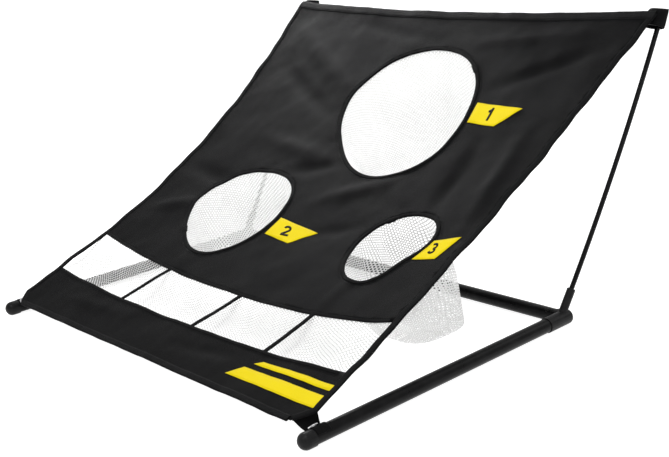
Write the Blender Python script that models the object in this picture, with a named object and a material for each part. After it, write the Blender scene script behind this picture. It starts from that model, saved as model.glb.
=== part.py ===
"""Golf chipping net: a U-shaped tube base, two flexible rods and a target cloth with mesh pockets.

Metres, +Z up. The origin is on the floor under the middle of the object. +X is to the right and
+Y to the back for a player who stands in front of the low edge of the cloth. Lengths along Y are
first given from the front ends of the side tubes, and base_frame then moves everything forward.
"""

from math import cos, hypot, pi, radians, sin, tau

import bmesh
import bpy
from mathutils import Matrix, Vector
from mathutils.geometry import delaunay_2d_cdt

# Driving dimensions of the base
BASE_HALF = 0.405         # from the middle to the axis of a side tube
BASE_DEPTH = 0.535        # from the front ends of the side tubes to the axis of the back tube
TUBE_RADIUS = 0.011
TUBE_WALL = 0.0014
FOOT_RADIUS = 0.0122      # outer radius of the plastic caps and corner fittings
AXIS_HEIGHT = 0.0116      # height of all tube axes; the feet are cut flat at the floor
SPIGOT_LENGTH = 0.040     # how far a corner fitting reaches into the back tube
BUTTON_X = 0.380          # from the middle to the axis of a snap button
BUTTON_TILT = radians(40)     # how far the snap buttons lean forward from straight up
GAP = 0.0003              # left between pieces that touch

# Driving dimensions of the rods
ROD_RADIUS = 0.004
ROD_FOOT = (0.538, 0.027)     # y and z where a rod leaves its socket line
ROD_RISE = (0.226, 0.400)     # how far the upper end lies behind and above that point
ROD_SPREAD = 0.0185           # how far the upper end lies further out than the lower one
ROD_BOW = 0.0095              # how far the middle of a rod bends to the back
SOCKET_RADIUS = 0.0068
SOCKET_DEPTH = 0.045

# Driving dimensions of the cloth, which slopes up to the back
CLOTH_HALF_FRONT = 0.399
CLOTH_HALF_TOP = 0.432
CLOTH_FRONT_Z = 0.0262
CLOTH_TOP = (0.760, 0.462)    # y and z of its top corners
WAIST = 0.065                 # share of its half width that the side edges curve in
EDGE_SAG = 0.040              # how far the side edges hang below a straight line
MIDDLE_SAG = 0.046
TOP_DIP = 0.019               # how far the middle of the top edge hangs below its corners
CLOTH_THICKNESS = 0.0016
BINDING_THICKNESS = 0.0026
SIDE_BINDING = 0.012
TOP_HEM = 0.020
BOTTOM_HEM = 0.010
HOLE_BINDING = 0.006
DIVIDER_WIDTH = 0.010
NET_THICKNESS = 0.002

# Target holes: middle across and up the slope, radius, stretch and direction of the stretch
HOLES = {
    1: (0.057, 0.632, 0.145, 0.07, radians(-52)),
    2: (-0.134, 0.342, 0.106, 0.03, radians(-31)),
    3: (0.249, 0.341, 0.067, 0.11, radians(68)),
}
# Bottom of the mesh pocket under each hole: middle x, y, z and its half sizes along x and y
POCKET_FLOORS = {
    1: (0.050, 0.600, 0.130, 0.105, 0.100),
    2: (-0.130, 0.380, 0.004, 0.095, 0.090),
    3: (0.243, 0.375, 0.004, 0.066, 0.068),
}
# Where the three window dividers start on the bottom band and end on the target panel
DIVIDERS = {1: (-0.162, -0.131), 2: (0.043, 0.070), 3: (0.219, 0.235)}

# Corner pockets that hold the rod tips
POCKET_HALF_WIDTH = 0.020
POCKET_HALF_THICKNESS = 0.0085
POCKET_HEIGHT = 0.038
POCKET_DEPTH = 0.034
TIP_RADIUS = 0.0052
CAP_LENGTH = 0.012
CORNER_TRIM = (0.022, 0.034)  # how far each front corner of the cloth is cut off, across and up
STUD_Y = 0.0205
STUD_LEAN = radians(40)       # how far the studs lean inward from straight up

CENTRE_Y = 0.3877         # middle of the footprint, measured from the front ends of the side tubes
SIDES = {"left": -1, "right": 1}
CLOTH_LENGTH = hypot(CLOTH_TOP[0], CLOTH_TOP[1] - CLOTH_FRONT_Z)


# ---------------------------------------------------------------- helpers

def clear_scene():
    for old in list(bpy.data.objects):
        bpy.data.objects.remove(old, do_unlink=True)


def make_material(name, colour, roughness, metallic=0.0):
    material = bpy.data.materials.new(name)
    material.use_nodes = True
    shader = material.node_tree.nodes["Principled BSDF"]
    shader.inputs["Base Color"].default_value = (*colour, 1.0)
    shader.inputs["Roughness"].default_value = roughness
    shader.inputs["Metallic"].default_value = metallic
    return material


FINISHES = {
    "steel": ((0.012, 0.012, 0.013), 0.38, 0.0),
    "plastic": ((0.014, 0.014, 0.015), 0.5, 0.0),
    "rod": ((0.010, 0.010, 0.011), 0.3, 0.0),
    "rubber": ((0.015, 0.015, 0.015), 0.8, 0.0),
    "cloth": ((0.022, 0.022, 0.024), 0.75, 0.0),
    "webbing": ((0.012, 0.012, 0.013), 0.85, 0.0),
    "mesh": ((0.88, 0.88, 0.87), 0.8, 0.0),
    "bright_metal": ((0.75, 0.75, 0.76), 0.25, 1.0),
}


def add_object(name, bm, finish, pivot=(0.0, 0.0, 0.0)):
    """Makes one node. Its origin is at pivot, and its faces are turned outward."""
    bmesh.ops.remove_doubles(bm, verts=bm.verts, dist=1e-6)
    bmesh.ops.recalc_face_normals(bm, faces=bm.faces)
    bmesh.ops.translate(bm, verts=bm.verts, vec=-Vector(pivot))
    mesh = bpy.data.meshes.new(name)
    bm.to_mesh(mesh)
    bm.free()
    mesh.shade_smooth()
    mesh.set_sharp_from_angle(angle=radians(35))
    mesh.materials.append(make_material(name, *FINISHES[finish]))
    node = bpy.data.objects.new(name, mesh)
    bpy.context.collection.objects.link(node)
    node.parent = base_frame
    node.location = pivot
    return node


def add_loft(bm, rings):
    """Skins rings of equal count into one closed body; a ring of one point is a pole."""
    made = [[bm.verts.new(point) for point in ring] for ring in rings]
    for lower, upper in zip(made, made[1:]):
        count = max(len(lower), len(upper))
        for i in range(count):
            j = (i + 1) % count
            corners = [lower[i % len(lower)], lower[j % len(lower)],
                       upper[j % len(upper)], upper[i % len(upper)]]
            bm.faces.new(list(dict.fromkeys(corners)))
    for ring in (made[0], made[-1]):
        if len(ring) > 1:
            bm.faces.new(ring)


def axis_matrix(start, direction):
    """Turns +Z onto direction and moves the origin to start."""
    turn = Vector((0, 0, 1)).rotation_difference(Vector(direction).normalized())
    return Matrix.Translation(start) @ turn.to_matrix().to_4x4()


def add_turned(bm, start, direction, profile, sides=20):
    """A closed body turned about an axis. profile lists (distance along it, radius)."""
    place = axis_matrix(start, direction)
    rings = []
    for along, radius in profile:
        count = sides if radius > 0 else 1
        rings.append([place @ Vector((radius * cos(tau * (i + 0.5) / sides),
                                      radius * sin(tau * (i + 0.5) / sides), along))
                      for i in range(count)])
    add_loft(bm, rings)


def add_tube(bm, start, end, outer, inner, sides=20):
    """A straight tube, open at both ends."""
    start, end = Vector(start), Vector(end)
    length = (end - start).length
    place = axis_matrix(start, end - start)
    corners = [(0, outer), (length, outer), (length, inner), (0, inner)]
    rings = [[bm.verts.new(place @ Vector((radius * cos(tau * (i + 0.5) / sides),
                                           radius * sin(tau * (i + 0.5) / sides), along)))
              for i in range(sides)] for along, radius in corners]
    for ring, after in zip(rings, rings[1:] + rings[:1]):
        for i in range(sides):
            j = (i + 1) % sides
            bm.faces.new((ring[i], ring[j], after[j], after[i]))


def add_box(bm, low, high, place=Matrix()):
    corners = [[place @ Vector((x, y, z)) for x, y in ((low[0], low[1]), (high[0], low[1]),
                                                       (high[0], high[1]), (low[0], high[1]))]
               for z in (low[2], high[2])]
    add_loft(bm, corners)


def combine(node, operation, build_tool):
    """Joins or cuts a node with a tool body that build_tool adds to an empty mesh."""
    bm = bmesh.new()
    build_tool(bm)
    bmesh.ops.recalc_face_normals(bm, faces=bm.faces)
    mesh = bpy.data.meshes.new("tool")
    bm.to_mesh(mesh)
    bm.free()
    tool = bpy.data.objects.new("tool", mesh)
    bpy.context.collection.objects.link(tool)
    tool.parent = base_frame
    step = node.modifiers.new("step", "BOOLEAN")
    step.operation = operation
    step.solver = "EXACT"
    step.object = tool
    depsgraph = bpy.context.evaluated_depsgraph_get()
    result = bpy.data.meshes.new_from_object(node.evaluated_get(depsgraph))
    node.modifiers.clear()
    old = node.data
    node.data = result
    bpy.data.meshes.remove(old)
    result.name = node.name
    bpy.data.objects.remove(tool, do_unlink=True)
    bpy.data.meshes.remove(mesh)


# ---------------------------------------------------------------- shape of the cloth

def half_width(up):
    share = up / CLOTH_LENGTH
    straight = CLOTH_HALF_FRONT + (CLOTH_HALF_TOP - CLOTH_HALF_FRONT) * share
    return straight * (1 - WAIST * sin(pi * share))


def on_cloth(across, up):
    """Point in the middle of the cloth's thickness, from its flat pattern."""
    share = up / CLOTH_LENGTH
    offside = min(abs(across) / half_width(up), 1.1) ** 2
    sag = (MIDDLE_SAG + (EDGE_SAG - MIDDLE_SAG) * offside) * sin(pi * share)
    along = up - TOP_DIP * (1 - offside) * share ** 3
    back = CLOTH_TOP[0] / CLOTH_LENGTH
    rise = (CLOTH_TOP[1] - CLOTH_FRONT_Z) / CLOTH_LENGTH
    return Vector((across, along * back + sag * rise, CLOTH_FRONT_Z + along * rise - sag * back))


def cloth_normal(across, up):
    """Upward normal of the cloth."""
    step = 0.004
    along_x = on_cloth(across + step, up) - on_cloth(across - step, up)
    along_up = on_cloth(across, up + step) - on_cloth(across, up - step)
    return along_x.cross(along_up).normalized()


def window_top(across):
    """Lower edge of the target panel; the cloth hangs lower between its sewn ends."""
    power = 1.8 if across < 0 else 3.2
    return 0.171 + 0.036 * (abs(across) / 0.376) ** power


def window_bottom(across):
    """Upper edge of the bottom band."""
    return 0.088 + 0.016 * (abs(across) / 0.38) ** 2.5


def hole_outline(number, grow, count):
    """Outline of a hole's opening, made larger by grow."""
    across, up, radius, stretch, direction = HOLES[number]
    points = []
    for i in range(count):
        angle = tau * i / count
        reach = radius * (1 + stretch * cos(2 * (angle - direction))) + grow
        points.append((across + reach * cos(angle), up + reach * sin(angle)))
    return points


def sampled(start, end, curve, spacing=0.045):
    """Points from start up to but without end, along curve(t) with t from 0 to 1."""
    count = max(1, round(abs(end - start) / spacing))
    return [curve(start + (end - start) * i / count) for i in range(count)]


def inside(point, outline):
    """Whether a flat point lies inside a closed outline."""
    x, y = point
    found = False
    for (x1, y1), (x2, y2) in zip(outline, outline[1:] + outline[:1]):
        if (y1 > y) != (y2 > y) and x < x1 + (y - y1) * (x2 - x1) / (y2 - y1):
            found = not found
    return found


def far_from(point, outline, distance):
    """Whether a flat point keeps its distance from all points and edges of an outline."""
    point = Vector(point)
    for first, second in zip(outline, outline[1:] + outline[:1]):
        first, second = Vector(first), Vector(second)
        edge = second - first
        share = max(0.0, min(1.0, (point - first).dot(edge) / edge.length_squared))
        if (point - first - edge * share).length < distance:
            return False
    return True


def add_cloth_piece(name, outline, holes, thickness, finish, spacing=0.055):
    """A sewn piece: a flat outline with holes, laid on the cloth's shape and given a thickness."""
    flat = [Vector(point) for point in outline]
    edges = [(i, (i + 1) % len(outline)) for i in range(len(outline))]
    for hole in holes:
        first = len(flat)
        flat += [Vector(point) for point in hole]
        edges += [(first + i, first + (i + 1) % len(hole)) for i in range(len(hole))]
    xs = [point[0] for point in outline]
    ups = [point[1] for point in outline]
    columns = int((max(xs) - min(xs)) / spacing)
    rows = int((max(ups) - min(ups)) / spacing)
    for column in range(1, columns):
        for row in range(1, rows):
            point = (min(xs) + (max(xs) - min(xs)) * column / columns,
                     min(ups) + (max(ups) - min(ups)) * row / rows)
            clear = all(far_from(point, border, 0.4 * spacing) for border in [outline, *holes])
            if clear and inside(point, outline) and not any(inside(point, h) for h in holes):
                flat.append(Vector(point))
    points, _, faces, *_ = delaunay_2d_cdt(flat, edges, [], 1, 1e-7)
    kept = []
    for face in faces:
        middle = sum((points[i] for i in face), Vector((0, 0))) / len(face)
        if inside(middle, outline) and not any(inside(middle, hole) for hole in holes):
            kept.append(face)
    bm = bmesh.new()
    layers = []
    for side in (1, -1):
        layers.append([bm.verts.new(on_cloth(*point) + cloth_normal(*point) * side * thickness / 2)
                       for point in points])
    borders = {}
    for face in kept:
        bm.faces.new([layers[0][i] for i in face])
        bm.faces.new([layers[1][i] for i in reversed(face)])
        for first, second in zip(face, face[1:] + face[:1]):
            borders[(first, second)] = True
    for first, second in borders:
        if (second, first) not in borders:
            bm.faces.new((layers[0][second], layers[0][first],
                          layers[1][first], layers[1][second]))
    loose = [vertex for vertex in bm.verts if not vertex.link_faces]
    bmesh.ops.delete(bm, geom=loose, context="VERTS")
    return add_object(name, bm, finish)


# ---------------------------------------------------------------- rods

def rod_point(side, share):
    """Axis of a rod, from its socket line (share 0) to where its pocket starts (share 1)."""
    bend = 4 * ROD_BOW
    if share < 0:
        across, back, bowed = ROD_SPREAD * share, ROD_RISE[0] * share, bend * share
    elif share > 1:
        across, back, bowed = ROD_SPREAD * share, ROD_RISE[0] * share, -bend * (share - 1)
    else:
        across, back, bowed = ROD_SPREAD * share, ROD_RISE[0] * share, bend * share * (1 - share)
    return Vector((side * (BASE_HALF + across), ROD_FOOT[0] + back + bowed,
                   ROD_FOOT[1] + ROD_RISE[1] * share))


def socket_axis(side):
    return (rod_point(side, 0) - rod_point(side, -0.1)).normalized()


def tip_axis(side):
    return (rod_point(side, 1.1) - rod_point(side, 1)).normalized()


def build_rods():
    for name, side in SIDES.items():
        foot = rod_point(side, 0) - socket_axis(side) * 0.012
        mouth = rod_point(side, 1)
        tip_start = mouth + tip_axis(side) * 0.010
        stations = [foot] + [rod_point(side, i / 12) for i in range(13)]
        stations.append(mouth + tip_axis(side) * 0.022)
        bm = bmesh.new()
        rings = []
        for i, point in enumerate(stations):
            before = stations[max(i - 1, 0)]
            after = stations[min(i + 1, len(stations) - 1)]
            along = (after - before).normalized()
            outward = Vector((1, 0, 0))
            back = along.cross(outward).normalized()
            outward = back.cross(along)
            rings.append([point + ROD_RADIUS * (cos(tau * k / 12) * outward
                                                + sin(tau * k / 12) * back) for k in range(12)])
        add_loft(bm, rings)
        add_object("rod_" + name, bm, "rod", pivot=foot)

        bm = bmesh.new()
        bore = ROD_RADIUS + GAP
        profile = [(0, bore), (0, TIP_RADIUS), (0.013, TIP_RADIUS), (0.0162, TIP_RADIUS * 0.8),
                   (0.0178, TIP_RADIUS * 0.4), (0.018, 0)]
        inner = [(0.0125, 0), (0.0125, bore)]
        add_turned(bm, tip_start, tip_axis(side), inner + profile, sides=12)
        add_object("rod_tip_" + name, bm, "rubber", pivot=foot)


# ---------------------------------------------------------------- base

def joint_point(side):
    """Middle of the joint between the back tube and a corner fitting."""
    return Vector((side * (BASE_HALF - FOOT_RADIUS - GAP), BASE_DEPTH, AXIS_HEIGHT))


def button_matrix(side):
    """Puts +Z along a snap button, starting on the axis of the back tube."""
    return axis_matrix((side * BUTTON_X, BASE_DEPTH, AXIS_HEIGHT),
                       (0, -sin(BUTTON_TILT), cos(BUTTON_TILT)))


def build_back_tube():
    bm = bmesh.new()
    add_tube(bm, joint_point(-1), joint_point(1), TUBE_RADIUS, TUBE_RADIUS - TUBE_WALL, sides=24)
    tube = add_object("back_tube", bm, "steel")
    for side in SIDES.values():
        place = button_matrix(side)
        combine(tube, "DIFFERENCE", lambda bm: add_turned(
            bm, place.translation, place.col[2].xyz, [(0.004, 0.0035), (0.02, 0.0035)], 16))


def build_snap_buttons():
    """A spring button in the wall of the back tube locks into the keyway of each fitting."""
    profile = [(0.0052, 0), (0.0052, 0.0038), (0.0068, 0.0038), (0.0068, 0.0031),
               (0.0122, 0.0031), (0.0130, 0.0025), (0.0134, 0.0014), (0.0135, 0)]
    for name, side in SIDES.items():
        place = button_matrix(side)
        bm = bmesh.new()
        add_turned(bm, place.translation, place.col[2].xyz, profile, sides=16)
        add_object("snap_button_" + name, bm, "steel", pivot=place.translation)


def build_side_tubes():
    for name, side in SIDES.items():
        x = side * BASE_HALF
        bm = bmesh.new()
        add_tube(bm, (x, 0.0005, AXIS_HEIGHT), (x, BASE_DEPTH - 0.0435, AXIS_HEIGHT),
                 TUBE_RADIUS, TUBE_RADIUS - TUBE_WALL, sides=24)
        add_object("side_tube_" + name, bm, "steel", pivot=joint_point(side))


def cut_foot(node, low_y, high_y, side):
    """Cuts a round foot flat at the floor."""
    x = side * BASE_HALF
    combine(node, "DIFFERENCE", lambda bm: add_box(
        bm, (x - 0.02, low_y, -0.01), (x + 0.02, high_y, 0)))


def build_front_caps():
    """A plastic cap with a domed front closes each side tube."""
    for name, side in SIDES.items():
        bm = bmesh.new()
        dome = [(-FOOT_RADIUS * 0.95 * cos(pi / 2 * i / 6), FOOT_RADIUS * sin(pi / 2 * i / 6))
                for i in range(7)]
        bore = TUBE_RADIUS + GAP
        profile = dome + [(CAP_LENGTH, FOOT_RADIUS), (CAP_LENGTH, bore), (0, bore), (0, 0)]
        add_turned(bm, (side * BASE_HALF, 0, AXIS_HEIGHT), (0, 1, 0), profile, sides=24)
        cap = add_object("front_cap_" + name, bm, "plastic", pivot=joint_point(side))
        cut_foot(cap, -0.02, 0.03, side)


def build_corner_fittings():
    """Elbow with a spigot for each tube, a keyway for the button and a bore for the socket."""
    front = BASE_DEPTH - 0.0428
    rear = BASE_DEPTH + 0.0135
    spigot = TUBE_RADIUS - TUBE_WALL - GAP
    for name, side in SIDES.items():
        x = side * BASE_HALF
        length = rear - front
        rounding = [(length - 0.006 + 0.006 * sin(pi / 2 * i / 5),
                     FOOT_RADIUS - 0.006 + 0.006 * cos(pi / 2 * i / 5)) for i in range(6)]
        profile = [(-0.030, spigot), (0, spigot), (0, FOOT_RADIUS)] + rounding
        bm = bmesh.new()
        add_turned(bm, (x, front, AXIS_HEIGHT), (0, 1, 0), profile, sides=24)
        fitting = add_object("corner_fitting_" + name, bm, "plastic", pivot=joint_point(side))
        collar = BASE_HALF - abs(joint_point(side).x) - GAP
        combine(fitting, "UNION", lambda bm: add_turned(
            bm, (x, BASE_DEPTH, AXIS_HEIGHT), (-side, 0, 0),
            [(0, FOOT_RADIUS - 0.0002), (collar, FOOT_RADIUS - 0.0002),
             (collar, spigot), (collar + SPIGOT_LENGTH - 0.001, spigot),
             (collar + SPIGOT_LENGTH, spigot - 0.001)], 24))
        ends = sorted((side * (BUTTON_X + 0.0045), side * (BASE_HALF - 0.06)))
        offset = Vector((side * BUTTON_X, 0, 0))
        combine(fitting, "DIFFERENCE", lambda bm: add_box(
            bm, (ends[0] - offset.x, -0.0042, 0.0025), (ends[1] - offset.x, 0.0042, 0.02),
            button_matrix(side)))
        cut_foot(fitting, front - 0.001, rear + 0.01, side)
        start = rod_point(side, 0) - socket_axis(side) * 0.0155
        bore = SOCKET_RADIUS + GAP
        combine(fitting, "DIFFERENCE", lambda bm: add_turned(
            bm, start - socket_axis(side) * GAP, socket_axis(side), [(0, bore), (0.06, bore)], 16))


def build_rod_sockets():
    """A short metal ferrule stands in each corner fitting and holds the foot of a rod."""
    for name, side in SIDES.items():
        start = rod_point(side, 0) - socket_axis(side) * 0.0155
        bore = ROD_RADIUS + 0.0006
        top = 0.003 + SOCKET_DEPTH
        profile = [(0, 0), (0, SOCKET_RADIUS), (top - 0.001, SOCKET_RADIUS),
                   (top, SOCKET_RADIUS - 0.001), (top, bore), (0.003, bore), (0.003, 0)]
        bm = bmesh.new()
        add_turned(bm, start, socket_axis(side), profile, sides=16)
        add_object("rod_socket_" + name, bm, "plastic", pivot=joint_point(side))


def stud_axis(side):
    """A point on the axis of the side tube and the direction of the stud there."""
    return (Vector((side * BASE_HALF, STUD_Y, AXIS_HEIGHT)),
            Vector((-side * sin(STUD_LEAN), 0, cos(STUD_LEAN))))


def build_corner_studs():
    """A stud on each side tube takes the grommet of the cloth's front corner."""
    for name, side in SIDES.items():
        start, direction = stud_axis(side)
        foot = start + direction * (TUBE_RADIUS + GAP)
        profile = [(0, 0.0034), (0.0028, 0.0034), (0.0036, 0.0028), (0.0042, 0.0015), (0.0043, 0)]
        bm = bmesh.new()
        add_turned(bm, foot, direction, profile, sides=12)
        add_object("corner_stud_" + name, bm, "bright_metal", pivot=joint_point(side))


# ---------------------------------------------------------------- cloth

def build_panels():
    inset = SIDE_BINDING + GAP
    panel_top = CLOTH_LENGTH - TOP_HEM - GAP
    corner = half_width(0.205) - inset
    start, end = window_top(-corner), window_top(corner)

    def right(up):
        return (half_width(up) - inset, up)

    def left(up):
        return (-half_width(up) + inset, up)

    outline = sampled(-corner, corner, lambda x: (x, window_top(x)))
    outline += sampled(end, panel_top, right)
    reach = half_width(panel_top) - inset
    outline += sampled(reach, -reach, lambda x: (x, panel_top))
    outline += sampled(panel_top, start, left)
    holes = [hole_outline(number, HOLE_BINDING + GAP, 28) for number in HOLES]
    add_cloth_piece("target_panel", outline, holes, CLOTH_THICKNESS, "cloth")

    band_low = 0.002 + BOTTOM_HEM + GAP
    corner = half_width(0.10) - inset
    across, up = CORNER_TRIM
    trimmed = half_width(band_low) - inset - across
    outline = sampled(-trimmed, trimmed, lambda x: (x, band_low)) + [(trimmed, band_low)]
    outline += sampled(up, window_bottom(corner), right)
    outline += sampled(corner, -corner, lambda x: (x, window_bottom(x)))
    outline += sampled(window_bottom(-corner), up, left) + [left(up)]
    add_cloth_piece("bottom_band", outline, [], CLOTH_THICKNESS, "cloth")


def build_edges():
    reach = half_width(0) - SIDE_BINDING - GAP - CORNER_TRIM[0]
    outline = sampled(-reach, reach, lambda x: (x, 0.002)) + [(reach, 0.002)]
    outline += sampled(reach, -reach, lambda x: (x, 0.002 + BOTTOM_HEM))
    outline += [(-reach, 0.002 + BOTTOM_HEM)]
    add_cloth_piece("bottom_hem", outline, [], BINDING_THICKNESS, "cloth")

    low = CLOTH_LENGTH - TOP_HEM
    low_reach = half_width(low) - SIDE_BINDING - 2 * GAP
    reach = half_width(CLOTH_LENGTH) - SIDE_BINDING - 2 * GAP
    outline = sampled(-low_reach, low_reach, lambda x: (x, low))
    outline += [(low_reach, low)]
    outline += sampled(reach, -reach, lambda x: (x, CLOTH_LENGTH))
    outline += [(-reach, CLOTH_LENGTH)]
    add_cloth_piece("top_hem", outline, [], BINDING_THICKNESS, "cloth")

    for name, side in SIDES.items():
        low = CORNER_TRIM[1]
        outer = sampled(low, CLOTH_LENGTH, lambda up: (side * half_width(up), up))
        inner = sampled(CLOTH_LENGTH, low, lambda up: (side * (half_width(up) - SIDE_BINDING), up))
        add_cloth_piece("side_binding_" + name, outer + inner, [], BINDING_THICKNESS, "webbing")


def build_window_dividers():
    for number, (low_x, high_x) in DIVIDERS.items():
        half = DIVIDER_WIDTH / 2
        corners = [(low_x - half, window_bottom(low_x - half) + GAP),
                   (low_x + half, window_bottom(low_x + half) + GAP),
                   (high_x + half, window_top(high_x + half) - GAP),
                   (high_x - half, window_top(high_x - half) - GAP)]
        outline = []
        for (x1, up1), (x2, up2) in zip(corners, corners[1:] + corners[:1]):
            pieces = 3 if abs(up2 - up1) > 0.03 else 1
            outline += [(x1 + (x2 - x1) * i / pieces, up1 + (up2 - up1) * i / pieces)
                        for i in range(pieces)]
        add_cloth_piece("window_divider_%d" % number, outline, [], BINDING_THICKNESS, "webbing")


def build_hole_bindings():
    for number in HOLES:
        add_cloth_piece("hole_binding_%d" % number, hole_outline(number, HOLE_BINDING, 28),
                        [hole_outline(number, 0, 28)], BINDING_THICKNESS, "webbing")


def inset(ring, distance):
    """Moves each point of an anticlockwise ring inward in the XY plane."""
    moved = []
    for i, point in enumerate(ring):
        before = (point - ring[i - 1]).xy.normalized()
        after = (ring[(i + 1) % len(ring)] - point).xy.normalized()
        turned = Vector((-before.y - after.y, before.x + after.x, 0))
        moved.append(point + turned * distance / (1 + before.dot(after)))
    return moved


def add_bag(name, rim, inner_rim, floor, levels=3):
    """An open bag of netting that hangs from its two rims down to a floor outline."""
    outer, inner = [], []
    for level in range(levels + 1):
        share = level / levels
        ring = [high.lerp(low, share) for high, low in zip(rim, floor)]
        outer.append(ring)
        inner.append(inset(ring, NET_THICKNESS))
    inner[0] = inner_rim
    for point in inner[-1]:
        point.z += NET_THICKNESS
    bm = bmesh.new()
    add_loft(bm, outer[::-1] + inner)
    add_object(name, bm, "mesh")


def under_cloth(flat):
    """Points just below the bindings of the cloth."""
    drop = BINDING_THICKNESS / 2 + 0.0008
    return [on_cloth(*point) - cloth_normal(*point) * drop for point in flat]


def window_outline(grow):
    """One outline around all four windows, made larger by grow."""
    reach = half_width(0.15) - SIDE_BINDING + grow

    def bottom(x):
        return window_bottom(x) - grow

    def top(x):
        return window_top(x) + grow

    across = [reach * (i - 5) / 5 for i in range(10)]
    upward = [i / 3 for i in range(3)]
    return ([(x, bottom(x)) for x in across]
            + [(reach, bottom(reach) * (1 - share) + top(reach) * share) for share in upward]
            + [(-x, top(-x)) for x in across]
            + [(-reach, top(-reach) * (1 - share) + bottom(-reach) * share) for share in upward])


def build_nets():
    for number, (x, y, z, half_x, half_y) in POCKET_FLOORS.items():
        count = 28
        floor = [Vector((x + half_x * cos(tau * i / count), y + half_y * sin(tau * i / count), z))
                 for i in range(count)]
        add_bag("pocket_net_%d" % number, under_cloth(hole_outline(number, 0.004, count)),
                under_cloth(hole_outline(number, 0.002, count)), floor)

    rim = under_cloth(window_outline(0.004))
    floor = [Vector((point.x * 0.96, 0.150 + (point.y - 0.135) * 0.75, 0.004)) for point in rim]
    add_bag("window_net", rim, under_cloth(window_outline(0.002)), floor, levels=1)


def build_rod_pockets():
    """A stiff sewn pocket on each top corner, open below, takes the tip of a rod."""
    for name, side in SIDES.items():
        mouth = rod_point(side, 1)
        place = axis_matrix(mouth, (0, tip_axis(side).y, tip_axis(side).z))
        middle_x = 0.0015 * side
        corner = 0.005
        ring = []
        for turn, sign_x, sign_y in ((0, 1, 1), (1, -1, 1), (2, -1, -1), (3, 1, -1)):
            for i in range(4):
                angle = pi / 2 * (turn + i / 3)
                ring.append((middle_x + sign_x * (POCKET_HALF_WIDTH - corner) + corner * cos(angle),
                             sign_y * (POCKET_HALF_THICKNESS - corner) + corner * sin(angle)))
        bm = bmesh.new()
        heights = [(0, 1.0), (POCKET_HEIGHT - 0.003, 1.0), (POCKET_HEIGHT, 0.88)]
        add_loft(bm, [[place @ Vector((x * size, y * size, height)) for x, y in ring]
                      for height, size in heights])
        pocket = add_object("rod_pocket_" + name, bm, "webbing")
        combine(pocket, "DIFFERENCE", lambda bm: add_turned(
            bm, mouth - tip_axis(side) * 0.01, (0, tip_axis(side).y, tip_axis(side).z),
            [(0, 0.0072), (POCKET_DEPTH + 0.01, 0.0072)], 16))


def build_corner_tabs():
    """Webbing of each front corner, bent over the tube, with a grommet round the stud."""
    inner = TUBE_RADIUS + GAP
    outer = inner + 0.0016
    for name, side in SIDES.items():
        start, direction = stud_axis(side)
        rings = []
        for i in range(13):
            lean = radians(-60 + 135 * i / 12)
            ray = Vector((-side * sin(lean), 0, cos(lean)))
            foot = Vector((side * BASE_HALF, 0, AXIS_HEIGHT))
            rings.append([foot + ray * radius + Vector((0, y, 0)) for radius, y in
                          ((inner, CAP_LENGTH + 0.0005), (outer, CAP_LENGTH + 0.0005),
                           (outer, 0.036), (inner, 0.036))])
        bm = bmesh.new()
        add_loft(bm, rings)
        tab = add_object("corner_tab_" + name, bm, "webbing")
        combine(tab, "DIFFERENCE", lambda bm: add_turned(
            bm, start, direction, [(0.006, 0.0052), (0.03, 0.0052)], 16))
        bm = bmesh.new()
        add_tube(bm, start + direction * (outer + GAP), start + direction * (outer + GAP + 0.0012),
                 0.0072, 0.0050, sides=16)
        add_object("grommet_" + name, bm, "bright_metal")


clear_scene()
base_frame = bpy.data.objects.new("base_frame", None)
base_frame.location = (0, -CENTRE_Y, 0)
bpy.context.collection.objects.link(base_frame)
bpy.context.view_layer.update()

build_back_tube()
build_snap_buttons()
build_side_tubes()
build_front_caps()
build_corner_fittings()
build_rod_sockets()
build_corner_studs()
build_rods()
build_panels()
build_edges()
build_window_dividers()
build_hole_bindings()
build_nets()
build_rod_pockets()
build_corner_tabs()
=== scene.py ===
"""Looks of the golf chipping net: cloth, bindings, netting, prints, materials, light and camera.

Metres, +Z up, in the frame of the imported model. Cloth places are given on its flat pattern as
(across, up): metres to the right of the middle, and metres up the slope from the front edge.
"""

from math import cos, hypot, pi, radians, sin, tau

import bmesh
import bpy
import numpy as np
from mathutils import Matrix, Vector, noise
from mathutils.geometry import delaunay_2d_cdt


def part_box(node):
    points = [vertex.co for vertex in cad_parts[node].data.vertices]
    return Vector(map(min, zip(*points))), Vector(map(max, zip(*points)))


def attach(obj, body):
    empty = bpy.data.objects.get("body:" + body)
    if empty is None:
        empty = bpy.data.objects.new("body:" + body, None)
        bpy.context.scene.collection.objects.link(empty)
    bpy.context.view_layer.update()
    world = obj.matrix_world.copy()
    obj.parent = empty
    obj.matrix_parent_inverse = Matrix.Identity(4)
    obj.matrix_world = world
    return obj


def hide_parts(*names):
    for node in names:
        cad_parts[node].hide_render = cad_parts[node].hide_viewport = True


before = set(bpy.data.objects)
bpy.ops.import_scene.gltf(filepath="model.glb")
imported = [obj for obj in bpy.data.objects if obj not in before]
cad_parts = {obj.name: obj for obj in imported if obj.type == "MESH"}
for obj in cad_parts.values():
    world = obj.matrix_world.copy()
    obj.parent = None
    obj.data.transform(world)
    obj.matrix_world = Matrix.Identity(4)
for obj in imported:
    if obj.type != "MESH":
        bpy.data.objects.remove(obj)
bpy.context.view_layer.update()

# The same driving dimensions as the model
CENTRE_Y = 0.3877
BASE_HALF = 0.405
AXIS_HEIGHT = 0.0116
CLOTH_HALF_FRONT = 0.399
CLOTH_HALF_TOP = 0.432
CLOTH_FRONT_Z = 0.0262
CLOTH_TOP = (0.760, 0.462)
CLOTH_LENGTH = hypot(CLOTH_TOP[0], CLOTH_TOP[1] - CLOTH_FRONT_Z)
WAIST = 0.065
EDGE_SAG = 0.040
MIDDLE_SAG = 0.046
TOP_DIP = 0.019
SIDE_BINDING = 0.012
TOP_HEM = 0.020
BOTTOM_HEM = 0.010
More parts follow.
